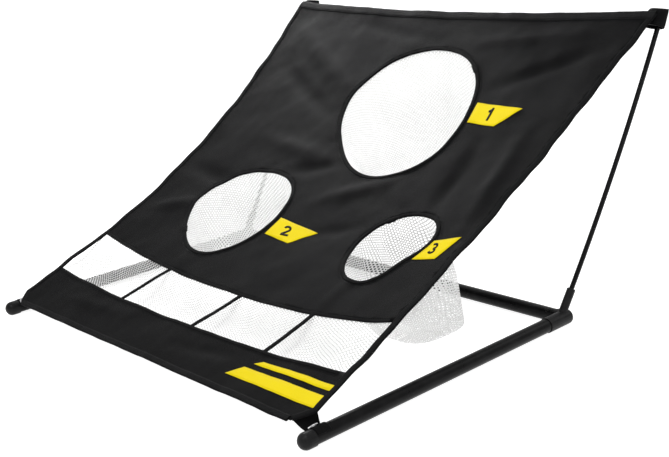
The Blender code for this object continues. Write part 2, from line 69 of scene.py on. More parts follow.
CORNER_TRIM = (0.022, 0.034)
SIDES = {"left": -1, "right": 1}

# Each hole: middle, radius, then how its outline swells (cos 2, sin 2, cos 3, sin 3)
HOLES = {
    1: (0.057, 0.632, 0.145, -0.0036, -0.0130, -0.0050, 0.0009),
    2: (-0.134, 0.342, 0.106, 0.0018, -0.0034, -0.0041, 0.0038),
    3: (0.249, 0.341, 0.067, -0.0080, 0.0076, -0.0018, 0.0039),
}
# Each pocket's floor: middle, half width and half depth, how round its outline is (1 is an
# ellipse, less is squarer), and how far the wall bellies out between hole and floor
POCKET_FLOORS = {
    1: (0.050, 0.600, 0.133, 0.100, 0.095, 0.95, -0.006),
    2: (-0.130, 0.380, 0.006, 0.092, 0.087, 0.85, 0.004),
    3: (0.243, 0.375, 0.006, 0.064, 0.066, 0.65, 0.007),
}
WALL_SHARE = 0.74        # part of a pocket's length that is wall, the rest is floor
DIVIDERS = {1: (-0.162, -0.131), 2: (0.043, 0.070), 3: (0.219, 0.235)}


# ---------------------------------------------------------------- shape of the cloth

def half_width(up):
    """Half the cloth's width, narrowest half way up, with a slightly wavy edge."""
    share = min(max(up / CLOTH_LENGTH, 0.0), 1.0)
    straight = CLOTH_HALF_FRONT + (CLOTH_HALF_TOP - CLOTH_HALF_FRONT) * share
    wave = 0.0010 * sin(up * 47 + 1.0) + 0.0007 * sin(up * 103)
    return straight * (1 - WAIST * sin(pi * share)) + wave * min(share * 12, 1.0)


def on_cloth(across, up):
    """A point of the smooth cloth, sagging between the base and the rods."""
    share = up / CLOTH_LENGTH
    offside = min(abs(across) / half_width(up), 1.1) ** 2
    sag = (MIDDLE_SAG + (EDGE_SAG - MIDDLE_SAG) * offside) * sin(pi * share)
    along = up - TOP_DIP * (1 - offside) * share ** 3
    back = CLOTH_TOP[0] / CLOTH_LENGTH
    rise = (CLOTH_TOP[1] - CLOTH_FRONT_Z) / CLOTH_LENGTH
    return Vector((across, along * back + sag * rise - CENTRE_Y,
                   CLOTH_FRONT_Z + along * rise - sag * back))


def cloth_normal(across, up):
    step = 0.004
    along_x = on_cloth(across + step, up) - on_cloth(across - step, up)
    along_up = on_cloth(across, up + step) - on_cloth(across, up - step)
    return along_x.cross(along_up).normalized()


def window_top(across):
    """How far up the cloth the windows end; window_bottom says where they start."""
    power = 1.8 if across < 0 else 3.2
    return 0.171 + 0.036 * (abs(across) / 0.376) ** power


def window_bottom(across):
    return 0.088 + 0.016 * (abs(across) / 0.38) ** 2.5


def cut_corner(inset, low):
    """The right front corner of the cloth, cut off where the strap is sewn on."""
    across, trim = CORNER_TRIM
    start, end = half_width(low) - inset - across, half_width(trim) - inset
    return line(low, trim, lambda up: (
        start + (end - start) * ((up - low) / (trim - low)) ** 0.8, up))


def hole_outline(number, grow=0.0, count=120):
    """Points round a hole, grow metres outside its edge."""
    across, up, radius, a, b, c, d = HOLES[number]
    points = []
    for i in range(count):
        angle = tau * i / count
        reach = (radius + grow + a * cos(2 * angle) + b * sin(2 * angle)
                 + c * cos(3 * angle) + d * sin(3 * angle))
        points.append((across + reach * cos(angle), up + reach * sin(angle)))
    return points


# Soft folds of the cloth: both ends, width and height of each
FOLDS = [
    ((-0.36, 0.80), (-0.10, 0.66), 0.022, 0.0030),
    ((-0.33, 0.70), (-0.12, 0.60), 0.016, -0.0022),
    ((-0.22, 0.52), (-0.05, 0.50), 0.018, 0.0024),
    ((-0.10, 0.455), (0.02, 0.495), 0.014, -0.0020),
    ((0.02, 0.40), (0.16, 0.48), 0.016, 0.0026),
    ((0.08, 0.33), (0.17, 0.37), 0.013, -0.0018),
    ((0.16, 0.47), (0.22, 0.42), 0.014, 0.0022),
    ((0.26, 0.58), (0.27, 0.42), 0.016, -0.0024),
    ((0.33, 0.62), (0.35, 0.40), 0.014, 0.0026),
    ((-0.34, 0.30), (-0.24, 0.34), 0.014, 0.0022),
    ((-0.36, 0.42), (-0.22, 0.40), 0.018, -0.0022),
    ((-0.14, 0.235), (-0.12, 0.18), 0.014, 0.0020),
    ((0.00, 0.28), (0.06, 0.19), 0.016, -0.0022),
    ((0.24, 0.27), (0.235, 0.19), 0.012, 0.0020),
    ((0.10, 0.80), (0.34, 0.83), 0.016, 0.0024),
    ((-0.20, 0.835), (0.02, 0.80), 0.014, -0.0018),
    ((0.21, 0.70), (0.38, 0.80), 0.016, -0.0026),
    ((-0.30, 0.05), (-0.10, 0.065), 0.012, 0.0014),
    ((0.05, 0.045), (0.20, 0.065), 0.010, -0.0012),
]


def ripple(across, up):
    """How far a point of the cloth stands proud of its smooth shape."""
    here = Vector((across, up))
    height = 0.0
    for start, end, width, lift in FOLDS:
        start, end = Vector(start), Vector(end)
        line = end - start
        share = (here - start).dot(line) / line.length_squared
        nearest = start + line * min(max(share, 0.0), 1.0)
        away = (here - nearest).length / width
        if away < 3:
            ends = sin(pi * min(max(share, 0.05), 0.95)) ** 0.5
            height += 1.7 * lift * ends * 2.718 ** (-away * away)
    height += 0.0026 * noise.noise(Vector((across * 14, up * 11, 3.1)))
    height += 0.0008 * noise.noise(Vector((across * 42, up * 36, 7.7)))
    return height


def lifted(across, up, height=0.0):
    """A point of the rippled cloth, height above its middle."""
    return on_cloth(across, up) + cloth_normal(across, up) * (height + ripple(across, up))


# ---------------------------------------------------------------- materials

class Nodes:
    """A short way to add linked shader nodes."""

    def __init__(self, name, colour, roughness, metallic=0.0):
        self.material = bpy.data.materials.new(name)
        self.material.use_nodes = True
        self.tree = self.material.node_tree
        self.shader = self.tree.nodes["Principled BSDF"]
        self.shader.inputs["Base Color"].default_value = (*colour, 1)
        self.shader.inputs["Roughness"].default_value = roughness
        self.shader.inputs["Metallic"].default_value = metallic

    def add(self, kind, inputs=None, **settings):
        node = self.tree.nodes.new("ShaderNode" + kind)
        for key, value in settings.items():
            setattr(node, key, value)
        for key, value in (inputs or {}).items():
            if isinstance(value, bpy.types.NodeSocket):
                self.tree.links.new(value, node.inputs[key])
            else:
                node.inputs[key].default_value = value
        return node

    def link(self, output, socket):
        self.tree.links.new(output, self.shader.inputs[socket])

    def place(self, kind="UV", scale=(1, 1, 1), turn=0.0):
        """Coordinates in metres: the flat pattern (UV) or the object's own (Object)."""
        source = self.add("TexCoord").outputs[kind]
        return self.add("Mapping", {"Vector": source, "Scale": scale,
                                    "Rotation": (0, 0, turn)}).outputs["Vector"]

    def blotches(self, where, size, detail=4.0):
        return self.add("TexNoise", {"Vector": where, "Scale": 1 / size,
                                     "Detail": detail}).outputs["Fac"]

    def shades(self, factor, low, high, start=0.3, end=0.7):
        ramp = self.add("ValToRGB", {"Fac": factor})
        ramp.color_ramp.elements[0].position = start
        ramp.color_ramp.elements[1].position = end
        ramp.color_ramp.elements[0].color = (*low, 1)
        ramp.color_ramp.elements[1].color = (*high, 1)
        return ramp.outputs["Color"]

    def ribs(self, where, spacing, axis="X"):
        return self.add("TexWave", {"Vector": where, "Scale": 0.314 / spacing},
                        wave_type="BANDS", bands_direction=axis).outputs["Fac"]

    def maths(self, operation, first, second):
        return self.add("Math", {0: first, 1: second}, operation=operation).outputs["Value"]

    def bump(self, height, distance, strength=1.0):
        node = self.add("Bump", {"Height": height, "Distance": distance, "Strength": strength})
        self.link(node.outputs["Normal"], "Normal")

    def uneven_gloss(self, factor, low, high):
        node = self.add("MapRange", {"Value": factor, "To Min": low, "To Max": high})
        self.link(node.outputs["Result"], "Roughness")


def woven(name, dark, light, thread=0.0011, sheen=0.25):
    """Plain weave with slightly uneven dye and wear."""
    nodes = Nodes(name, dark, 0.82)
    where = nodes.place()
    blotch = nodes.blotches(where, 0.09)
    nodes.link(nodes.shades(blotch, dark, light), "Base Color")
    weave = nodes.maths("MULTIPLY", nodes.ribs(where, thread, "X"), nodes.ribs(where, thread, "Y"))
    fuzz = nodes.blotches(where, thread * 3, 2.0)
    nodes.bump(nodes.maths("ADD", weave, nodes.maths("MULTIPLY", fuzz, 0.6)), 0.0003, 0.7)
    nodes.uneven_gloss(fuzz, 0.48, 0.66)
    nodes.shader.inputs["Sheen Weight"].default_value = sheen
    nodes.shader.inputs["Sheen Roughness"].default_value = 0.4
    nodes.shader.inputs["Specular IOR Level"].default_value = 0.045
    return nodes.material


def ribbed_tape(name, dark, light):
    """Ribbed binding tape; its pattern runs along the first texture direction."""
    nodes = Nodes(name, dark, 0.7)
    where = nodes.place()
    ribs = nodes.ribs(where, 0.0014, "X")
    cross = nodes.ribs(where, 0.0022, "Y")
    blotch = nodes.blotches(where, 0.03)
    nodes.link(nodes.shades(blotch, dark, light), "Base Color")
    nodes.bump(nodes.maths("ADD", ribs, nodes.maths("MULTIPLY", cross, 0.4)), 0.0003, 0.8)
    nodes.uneven_gloss(blotch, 0.6, 0.8)
    nodes.shader.inputs["Sheen Weight"].default_value = 0.02
    nodes.shader.inputs["Specular IOR Level"].default_value = 0.05
    return nodes.material


def netting(name, colour, threads_from, cell=0.0046):
    """Fine knitted mesh: threads round rows of open cells, set like a honeycomb."""
    nodes = Nodes(name, colour, 0.7)
    where = nodes.place()
    parts = nodes.add("SeparateXYZ", {"Vector": where})
    wave = 4 * pi / (3 ** 0.5 * cell)
    total = None
    for turn in (0, pi / 3, 2 * pi / 3):
        across = nodes.maths("MULTIPLY", parts.outputs["X"], wave * cos(turn))
        along = nodes.maths("MULTIPLY", parts.outputs["Y"], wave * sin(turn))
        ridge = nodes.add("Math", {0: nodes.maths("ADD", across, along)},
                          operation="COSINE").outputs["Value"]
        total = ridge if total is None else nodes.maths("ADD", total, ridge)
    uneven = nodes.maths("MULTIPLY", nodes.blotches(where, 0.02), 0.7)
    cells = nodes.maths("ADD", total, uneven)
    threads = nodes.add("MapRange", {"Value": cells, "From Min": threads_from,
                                     "From Max": threads_from + 0.5,
                                     "To Min": 1.0, "To Max": 0.0}).outputs["Result"]
    nodes.link(threads, "Alpha")
    low = tuple(c * 0.93 for c in colour)
    nodes.link(nodes.shades(nodes.blotches(where, 0.05), low, colour), "Base Color")
    nodes.bump(nodes.maths("SUBTRACT", 0.0, cells), 0.0003, 0.4)
    nodes.shader.inputs["Sheen Weight"].default_value = 0.3
    nodes.shader.inputs["Specular IOR Level"].default_value = 0.3
    return nodes.material


def coated_metal(name, colour, roughness):
    """Powder coat with a light orange peel and a few dull spots."""
    nodes = Nodes(name, colour, roughness)
    where = nodes.place("Object")
    nodes.bump(nodes.blotches(where, 0.0016, 2.0), 0.00002, 0.3)
    spots = nodes.blotches(where, 0.02)
    nodes.uneven_gloss(spots, roughness * 0.8, roughness * 1.5)
    light = tuple(c * 1.8 + 0.002 for c in colour)
    nodes.link(nodes.shades(spots, colour, light, 0.45, 0.85), "Base Color")
    nodes.shader.inputs["Specular IOR Level"].default_value = 0.10
    return nodes.material


def moulded(name, colour, roughness):
    """Moulded plastic with a fine grain."""
    nodes = Nodes(name, colour, roughness)
    where = nodes.place("Object")
    grain = nodes.blotches(where, 0.0009, 3.0)
    nodes.bump(grain, 0.00008, 0.5)
    wear = nodes.blotches(where, 0.012)
    nodes.uneven_gloss(wear, roughness * 0.8, roughness * 1.25)
    light = tuple(c * 1.8 + 0.002 for c in colour)
    nodes.link(nodes.shades(wear, colour, light), "Base Color")
    nodes.shader.inputs["Specular IOR Level"].default_value = 0.12
    return nodes.material


def bright_metal(name, colour):
    nodes = Nodes(name, colour, 0.22, 1.0)
    where = nodes.place("Object", (1, 1, 6))
    scratches = nodes.blotches(where, 0.0015, 3.0)
    nodes.uneven_gloss(scratches, 0.15, 0.38)
    nodes.link(nodes.shades(scratches, tuple(c * 0.8 for c in colour), colour), "Base Color")
    nodes.bump(scratches, 0.00003, 0.4)
    return nodes.material


CLOTH = woven("black_woven_cloth", (0.0016, 0.0016, 0.0018), (0.0034, 0.0034, 0.0038), sheen=0.008)
HEM = woven("black_hem_cloth", (0.0030, 0.0030, 0.0033), (0.0060, 0.0060, 0.0064), sheen=0.02)
TAPE = ribbed_tape("black_binding_tape", (0.0015, 0.0015, 0.0017), (0.0036, 0.0036, 0.0040))
THREAD = ribbed_tape("black_thread", (0.008, 0.008, 0.0085), (0.016, 0.016, 0.017))
NETTING = netting("white_netting", (0.74, 0.74, 0.735), -0.35)
FINE_NETTING = netting("white_netting_fine", (0.82, 0.82, 0.815), 0.5)
GATHERED = netting("white_netting_gathered", (0.93, 0.93, 0.925), 1.8)
YELLOW = woven("yellow_print", (0.76, 0.60, 0.006), (0.82, 0.65, 0.008), sheen=0.0)
INK = woven("black_print", (0.006, 0.006, 0.006), (0.010, 0.010, 0.010), sheen=0.0)
STEEL = coated_metal("black_powder_coat", (0.0030, 0.0030, 0.0032), 0.26)
ROD = coated_metal("black_rod_lacquer", (0.0028, 0.0028, 0.003), 0.2)
PLASTIC = moulded("black_moulded_plastic", (0.0045, 0.0045, 0.0048), 0.38)
SOCKET = moulded("black_socket_plastic", (0.005, 0.005, 0.0052), 0.45)
RUBBER = moulded("black_rubber", (0.018, 0.018, 0.018), 0.75)
METAL = bright_metal("bright_metal", (0.80, 0.80, 0.81))


# ---------------------------------------------------------------- mesh helpers

def finish_mesh(name, bm, material, uv=None, smooth=60):
    """Turns a bmesh into a piece. uv maps a vertex index to its place on the flat pattern."""
    if uv is not None:
        layer = bm.loops.layers.uv.new("pattern")
        bm.verts.index_update()
        for face in bm.faces:
            for loop in face.loops:
                loop[layer].uv = uv[loop.vert.index]
    mesh = bpy.data.meshes.new(name)
    bm.to_mesh(mesh)
    bm.free()
    mesh.shade_smooth()
    mesh.set_sharp_from_angle(angle=radians(smooth))
    mesh.materials.append(material)
    piece = bpy.data.objects.new(name, mesh)
    bpy.context.scene.collection.objects.link(piece)
    return piece


def grid_mesh(name, rows, material, uv_rows=None, closed=False, smooth=60):
    """Skins rows of points. closed joins the ends of each row."""
    bm = bmesh.new()
    made = [[bm.verts.new(point) for point in row] for row in rows]
    width = len(rows[0])
    uv_layer = bm.loops.layers.uv.new("pattern")
    for r in range(len(rows) - 1):
        for i in range(width if closed else width - 1):
            j = (i + 1) % width
            face = bm.faces.new((made[r][i], made[r][j], made[r + 1][j], made[r + 1][i]))
            if uv_rows:
                places = [(r, i), (r, i + 1), (r + 1, i + 1), (r + 1, i)]
                for loop, (row, column) in zip(face.loops, places):
                    loop[uv_layer].uv = uv_rows(row, column)
    return finish_mesh(name, bm, material, smooth=smooth)


def thicken(piece, thickness):
    solid = piece.modifiers.new("thickness", "SOLIDIFY")
    solid.thickness = thickness
    solid.offset = 0.0
    return piece


def bulged(value, power):
    """A sine or cosine raised to a power, with its sign kept."""
    return abs(value) ** power * (1 if value >= 0 else -1)


def line(start, end, curve, spacing=0.006):
    count = max(1, round(abs(end - start) / spacing))
    return [curve(start + (end - start) * i / count) for i in range(count)]


def inside(points, outline):
    """Which of many flat points lie inside a closed outline."""
    x, y = points[:, 0], points[:, 1]
    found = np.zeros(len(points), bool)
    for (x1, y1), (x2, y2) in zip(outline, outline[1:] + outline[:1]):
        if y1 != y2:
            crosses = ((y1 > y) != (y2 > y)) & (x < x1 + (y - y1) * (x2 - x1) / (y2 - y1))
            found ^= crosses
    return found


def cloth_sheet(name, outline, holes, material, spacing=0.009, height=0.0, thickness=0.0009):
    """A dense flat piece laid on the rippled cloth."""
    borders = np.array(outline + [point for hole in holes for point in hole])
    low, high = np.array(outline).min(0), np.array(outline).max(0)
    xs = np.arange(low[0], high[0], spacing)
    ups = np.arange(low[1], high[1], spacing * 0.866)
    field = np.array([(x + (0.5 * spacing if k % 2 else 0), up)
                      for k, up in enumerate(ups) for x in xs])
    keep = inside(field, outline)
    for hole in holes:
        keep &= ~inside(field, hole)
    field = field[keep]
    clear = np.array([((borders - point) ** 2).sum(1).min() > (0.55 * spacing) ** 2
                      for point in field], bool)
    flat = [Vector(point) for point in outline]
    edges = [(i, (i + 1) % len(outline)) for i in range(len(outline))]
    for hole in holes:
        first = len(flat)
        flat += [Vector(point) for point in hole]
        edges += [(first + i, first + (i + 1) % len(hole)) for i in range(len(hole))]
    if len(field):
        flat += [Vector(point) for point in field[clear]]
    points, _, faces, *_ = delaunay_2d_cdt(flat, edges, [], 1, 1e-7)
    middles = np.array([sum((points[i] for i in face), Vector((0, 0))) / 3 for face in faces])
    keep = inside(middles, outline)
    for hole in holes:
        keep &= ~inside(middles, hole)
    bm = bmesh.new()
    verts = [bm.verts.new(lifted(point.x, point.y, height)) for point in points]
    for face, kept in zip(faces, keep):
        if kept:
            bm.faces.new([verts[i] for i in face])
    piece = finish_mesh(name, bm, material, uv=[(p.x, p.y) for p in points])
    return thicken(piece, thickness)


def tape_along(name, path, material, width, thickness, closed=False):
    """A folded tape sewn over an edge: a flat oval swept along a path on the cloth."""
    section = []
    for i in range(14):
        angle = tau * i / 14
        across = width / 2 * bulged(cos(angle), 0.55)
        section.append((across, thickness / 2 * sin(angle)))
    rows, lengths, run = [], [], 0.0
    count = len(path)
    for i in range(count + 1 if closed else count):
        here = Vector(path[i % count])
        before = Vector(path[(i - 1) % count]) if closed or i > 0 else here
        after = Vector(path[(i + 1) % count]) if closed or i < count - 1 else here
        along = (after - before).normalized()
        side = Vector((-along.y, along.x))
        if i:
            run += (here - Vector(path[i - 1])).length
        lengths.append(run)
        row = []
        for across, up in section:
            spot = here + side * across
            pucker = 0.00025 * noise.noise(Vector((run * 160, across * 80, 1.0)))
            row.append(lifted(spot.x, spot.y, up + pucker))
        rows.append(row)
    piece = grid_mesh(name, rows, material, closed=True,
                      uv_rows=lambda r, i: (lengths[r], section[i % 14][0] + (i // 14) * width))
    return piece


def stitches(name, rows_of_points, material, length=0.0026, gap=0.0014, radius=0.00032):
    """Rows of sewing stitches on paths of (point, normal)."""
    bm = bmesh.new()
    for path in rows_of_points:
        travelled, target = 0.0, 0.0
        for (first, normal), (second, _) in zip(path, path[1:]):
            step = (second - first).length
            if step < 1e-6:
                continue
            along = (second - first) / step
            while target < travelled + step:
                middle = first + along * (target - travelled) + normal * radius * 0.6
                side = normal.cross(along).normalized()
                verts = []
                for share, size in ((-0.5, 0.35), (-0.3, 1.0), (0.3, 1.0), (0.5, 0.35)):
                    centre = middle + along * share * length - normal * radius * (1 - size)
                    spokes = [side * cos(tau * i / 5) + normal * sin(tau * i / 5) for i in range(5)]
                    verts.append([bm.verts.new(centre + radius * size * spoke) for spoke in spokes])
                for ring, after in zip(verts, verts[1:]):
                    for i in range(5):
                        j = (i + 1) % 5
                        bm.faces.new((ring[i], ring[j], after[j], after[i]))
                bm.faces.new(verts[0][::-1])
                bm.faces.new(verts[-1])
                target += length + gap
            travelled += step
    return finish_mesh(name, bm, material)


def sewn_row(path, height):
    return [(lifted(x, up, height), cloth_normal(x, up)) for x, up in path]


def add_piece(piece, body, slot_name, *nodes):
    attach(piece, body)
    if nodes:
        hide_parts(*nodes)
    return piece


# ---------------------------------------------------------------- cloth panels

def build_panels():
    """The large cloth with its holes, and the band under the windows."""
    inset = SIDE_BINDING * 0.5
    panel_top = CLOTH_LENGTH - TOP_HEM * 0.5
    reach = half_width(0.205) - inset
    outline = line(-reach, reach, lambda x: (x, window_top(x)))
    outline += line(window_top(reach), panel_top, lambda up: (half_width(up) - inset, up))
    top = half_width(panel_top) - inset
    outline += line(top, -top, lambda x: (x, panel_top))
    outline += line(panel_top, window_top(-reach), lambda up: (-half_width(up) + inset, up))
    panel = cloth_sheet("target_cloth", outline, [hole_outline(n, 0.002) for n in HOLES], CLOTH)
    add_piece(panel, "cloth", "black_cloth", "target_panel")

    low = BOTTOM_HEM * 0.5
    reach = half_width(0.10) - inset
    corner = cut_corner(inset, low)
    trim = CORNER_TRIM[1]
    outline = line(-corner[0][0], corner[0][0], lambda x: (x, low)) + corner
    outline += line(trim, window_bottom(reach), lambda up: (half_width(up) - inset, up))
    outline += line(reach, -reach, lambda x: (x, window_bottom(x)))
    outline += line(window_bottom(-reach), trim, lambda up: (-half_width(up) + inset, up))
    outline += [(-half_width(trim) + inset, trim)] + [(-x, up) for x, up in corner[:0:-1]]
    band = cloth_sheet("front_band_cloth", outline, [], CLOTH, spacing=0.007)
    add_piece(band, "cloth", "black_cloth", "bottom_band")
    return panel, band


def build_edges():
    """Hems and bindings, and the rows of stitching that hold them."""
    made, rows = {}, []
    top = half_width(CLOTH_LENGTH) - 0.004
    middle = CLOTH_LENGTH - TOP_HEM / 2
    path = line(-top, top, lambda x: (x, middle)) + [(top, middle)]
    made["top"] = tape_along("top_hem_fold", path, HEM, TOP_HEM, 0.0036)
    rows.append(sewn_row([(x, CLOTH_LENGTH - TOP_HEM + 0.002) for x, _ in path], 0.0016))
    rows.append(sewn_row([(x, CLOTH_LENGTH - TOP_HEM + 0.0055) for x, _ in path], 0.0019))

    front = half_width(0.0) - CORNER_TRIM[0] - 0.006
    path = line(-front, front, lambda x: (x, 0.002 + BOTTOM_HEM / 2))
    made["bottom"] = tape_along("bottom_hem_fold", path, HEM, BOTTOM_HEM + 0.001, 0.0034)
    rows.append(sewn_row([(x, 0.002 + BOTTOM_HEM - 0.0018) for x, _ in path], 0.0015))

    for name, side in SIDES.items():
        path = [(side * x, up) for x, up in cut_corner(SIDE_BINDING / 2, 0.010)]
        path += line(CORNER_TRIM[1], CLOTH_LENGTH - 0.001,
                     lambda up: (side * (half_width(up) - SIDE_BINDING / 2), up))
        made[name] = tape_along("side_binding_tape_" + name, path, TAPE, SIDE_BINDING, 0.0032)
        for inset in (0.0022, SIDE_BINDING - 0.0022):
            rows.append(sewn_row([(side * (half_width(up) - inset), up) for _, up in path
                                  if up > CORNER_TRIM[1]], 0.00135))
    sewing = stitches("edge_stitching", rows, THREAD)

    add_piece(made["top"], "cloth", "black_cloth", "top_hem")
    add_piece(made["bottom"], "cloth", "black_cloth", "bottom_hem")
    for name in SIDES:
        add_piece(made[name], "cloth", "black_webbing", "side_binding_" + name)
    add_piece(sewing, "cloth", "black_webbing")

    # Seams where the window net is sewn to the panel and to the front band
    reach = half_width(0.2) - SIDE_BINDING
    rows = []
    for name, curve, away in (("upper", window_top, 1), ("lower", window_bottom, -1)):
        path = line(-reach, reach, lambda x: (x, curve(x) + away * 0.003))
        tape = tape_along("window_edge_" + name, path, TAPE, 0.0065, 0.0026)
        add_piece(tape, "cloth", "black_webbing")
        rows.append(sewn_row([(x, curve(x) + away * 0.0078) for x, _ in path], 0.0006))
        rows.append(sewn_row([(x, curve(x) + away * 0.0050) for x, _ in path], 0.0011))
    seam = stitches("window_stitching", rows, THREAD)
    add_piece(seam, "cloth", "black_webbing")

    for number, (low_x, high_x) in DIVIDERS.items():
        low_up, high_up = window_bottom(low_x) - 0.004, window_top(high_x) + 0.004
        path = [(low_x + (high_x - low_x) * i / 14, low_up + (high_up - low_up) * i / 14)
                for i in range(15)]
        tape = tape_along("window_divider_tape_%d" % number, path, TAPE, 0.0085, 0.0024)
        add_piece(tape, "cloth", "black_webbing", "window_divider_%d" % number)


def build_hole_bindings():
    """Tape round each hole, its stitching and the overlap of its ends."""
    for number in HOLES:
        count = {1: 150, 2: 120, 3: 90}[number]
        path = hole_outline(number, 0.0035, count)[::-1]
        tape = tape_along("hole_binding_tape_%d" % number, path, TAPE, 0.0078, 0.0034, closed=True)
        add_piece(tape, "cloth", "black_webbing", "hole_binding_%d" % number)
        rows = []
        for grow, height in ((0.0058, 0.0014), (0.0105, 0.0006)):
            outline = hole_outline(number, grow, count)
            rows.append(sewn_row(outline + outline[:1], height))
        sewing = stitches("hole_stitching_%d" % number, rows, THREAD)
        add_piece(sewing, "cloth", "black_webbing")
        # The overlap where the tape's two ends meet
        start = {1: 20, 2: 74, 3: 30}[number]
        outline = hole_outline(number, 0.0032, count)
        joint = tape_along("hole_tape_end_%d" % number, outline[start:start + 4][::-1], TAPE,
                           0.0105, 0.0046)
        add_piece(joint, "cloth", "black_webbing")


# ---------------------------------------------------------------- netting

def build_pocket_nets():
    """A hanging mesh bag behind each hole."""
    bags = []
    for number, (x, y, z, half_x, half_y, square, belly) in POCKET_FLOORS.items():
        columns, levels = 120, 40
        curl = 0.012 if number == 1 else 0.004
        rim = hole_outline(number, 0.0012, columns)
        start = [lifted(px, up, -0.0016) for px, up in rim]
        girth = tau * HOLES[number][2]
        rows, lengths, run = [], [], 0.0
        for level in range(levels + 1):
            share = level / levels
            wall = min(share / WALL_SHARE, 1.0)
            row = []
            for i, high in enumerate(start):
                angle = tau * i / columns
                low = Vector((x + half_x * bulged(cos(angle), square),
                              y - CENTRE_Y + half_y * bulged(sin(angle), square), z))
                if share <= WALL_SHARE:
                    point = high.lerp(low, wall)
                    point.z = high.z + (low.z + curl - high.z) * wall
                else:
                    inner = (1 - share) / (1 - WALL_SHARE)
                    middle = Vector((x, y - CENTRE_Y, z))
                    point = middle.lerp(low, max(inner, 0.02) ** 0.8)
                    point.z = z + curl * inner ** 3
                middle = Vector((x, y - CENTRE_Y, point.z))
                outward = (point - middle)
                outward.z = 0
                outward.normalize()
                fold = (sin(7 * angle + number + 2.2 * share) * 0.45
                        + sin(11 * angle + 2 * number - 3 * share) * 0.35
                        + 0.9 * noise.noise(Vector((cos(angle) * 1.7, sin(angle) * 1.7,
                                                    share * 2 + number))))
                size = 0.0075 * sin(pi * wall) ** 0.7 if share < WALL_SHARE else 0.0
                sway = belly * sin(pi * wall)
                row.append(point + outward * (fold * size + sway * (share <= WALL_SHARE)))
            if level:
                run += (row[0] - rows[-1][0]).length
            lengths.append(run)
            rows.append(row)
        bag = grid_mesh("mesh_pocket_%d" % number, rows, FINE_NETTING if number == 3 else GATHERED,
                        closed=True, smooth=180,
                        uv_rows=lambda r, i: (girth * i / columns, lengths[r]))
        add_piece(bag, "cloth", "white_mesh", "pocket_net_%d" % number)
        bags.append((bag, rows))
    return bags


def build_window_net():
    """The tray of netting that hangs under all the windows."""
    reach = half_width(0.15) - SIDE_BINDING + 0.001
    columns, levels = 150, 26
    rows, lengths, run = [], [], 0.0
    for level in range(levels + 1):
        share = level / levels
        row = []
        for i in range(columns + 1):
            across = -reach + 2 * reach * i / columns
            front = lifted(across, window_bottom(across) - 0.001, -0.0016)
            back = lifted(across, window_top(across) + 0.001, -0.0016)
            point = front.lerp(back, share)
            ends = min((reach - abs(across)) / 0.05, 1.0)
            depth = 0.030 * sin(pi * share ** 0.8) * (0.25 + 0.75 * max(ends, 0.0) ** 0.5)
            folds = (0.0035 * sin(across * 46 + 2.5 * share + 1.0)
                     + 0.0028 * sin(across * 83 - 3 * share)
                     + 0.008 * noise.noise(Vector((across * 9, share * 1.6, 5.0))))
            point.z -= depth + folds * sin(pi * share)
            point.y += 0.006 * sin(pi * share)
            row.append(point)
        if level:
            middle = columns // 2
            run += (row[middle] - rows[-1][middle]).length
        lengths.append(run)
        rows.append(row)
    net = grid_mesh("window_mesh", rows, NETTING, smooth=180,
                    uv_rows=lambda r, i: (2 * reach * i / columns, lengths[r]))
    add_piece(net, "cloth", "white_mesh", "window_net")
    return net, rows


# ---------------------------------------------------------------- prints

PRINT_HEIGHT = 0.0009     # of a printed patch over the middle of the cloth
DIGIT_HEIGHT = 0.00125
STROKE_HALF = 0.10        # half the width of a number's stroke, in a box one unit high


def print_patch(name, corners, material):
    """A printed patch on the cloth, given by the corners of its outline."""
    outline = []
    for (x1, up1), (x2, up2) in zip(corners, corners[1:] + corners[:1]):
        pieces = max(1, round(hypot(x2 - x1, up2 - up1) / 0.004))
        outline += [(x1 + (x2 - x1) * i / pieces, up1 + (up2 - up1) * i / pieces)
                    for i in range(pieces)]
    patch = cloth_sheet(name, outline, [], material, spacing=0.006, height=PRINT_HEIGHT,
                        thickness=0.0003)
    add_piece(patch, "cloth", "black_cloth")
    return patch


def arc(centre, radii, start, end, count=12):
    return [(centre[0] + radii[0] * cos(radians(start + (end - start) * i / count)),
             centre[1] + radii[1] * sin(radians(start + (end - start) * i / count)))
            for i in range(count + 1)]


# Middle lines of the numbers' broad strokes, in a box one unit high
DIGITS = {
    1: [[(0.16, 0.66), (0.50, 0.91)], [(0.43, 0.0), (0.43, 1.0)]],
    2: [arc((0.40, 0.68), (0.27, 0.23), 165, -28) + [(0.10, 0.13)], [(0.02, 0.09), (0.76, 0.09)]],
    3: [arc((0.38, 0.71), (0.25, 0.20), 150, -90), arc((0.38, 0.30), (0.28, 0.21), 90, -150)],
}


def print_digit(name, digit, centre, right, upward, material):
    """A broad number; right and upward are the sides of its box on the cloth."""
    centre, right, upward = Vector(centre), Vector(right), Vector(upward)
    bm = bmesh.new()
    uv = []
    for layer, stroke in enumerate(DIGITS[digit]):
        points = [Vector(point) for point in stroke]
        dense = []
        for first, second in zip(points, points[1:]):
            pieces = max(1, round((second - first).length / 0.08))
            dense += [first.lerp(second, i / pieces) for i in range(pieces)]
        dense.append(points[-1])
        sides = []
        for i, point in enumerate(dense):
            along = (dense[min(i + 1, len(dense) - 1)] - dense[max(i - 1, 0)]).normalized()
            pair = []
            for sign in (1, -1):
                local = point + Vector((-along.y, along.x)) * STROKE_HALF * sign
                spot = centre + right * (local.x - 0.42) + upward * (local.y - 0.5)
                uv.append((spot.x, spot.y))
                pair.append(bm.verts.new(lifted(spot.x, spot.y, DIGIT_HEIGHT + 0.00005 * layer)))
            sides.append(pair)
        for (a, b), (c, d) in zip(sides, sides[1:]):
            bm.faces.new((a, b, d, c))
    bmesh.ops.recalc_face_normals(bm, faces=bm.faces)
    digit_piece = finish_mesh(name, bm, material, uv=uv)
    thicken(digit_piece, 0.0002)
    add_piece(digit_piece, "cloth", "black_cloth")


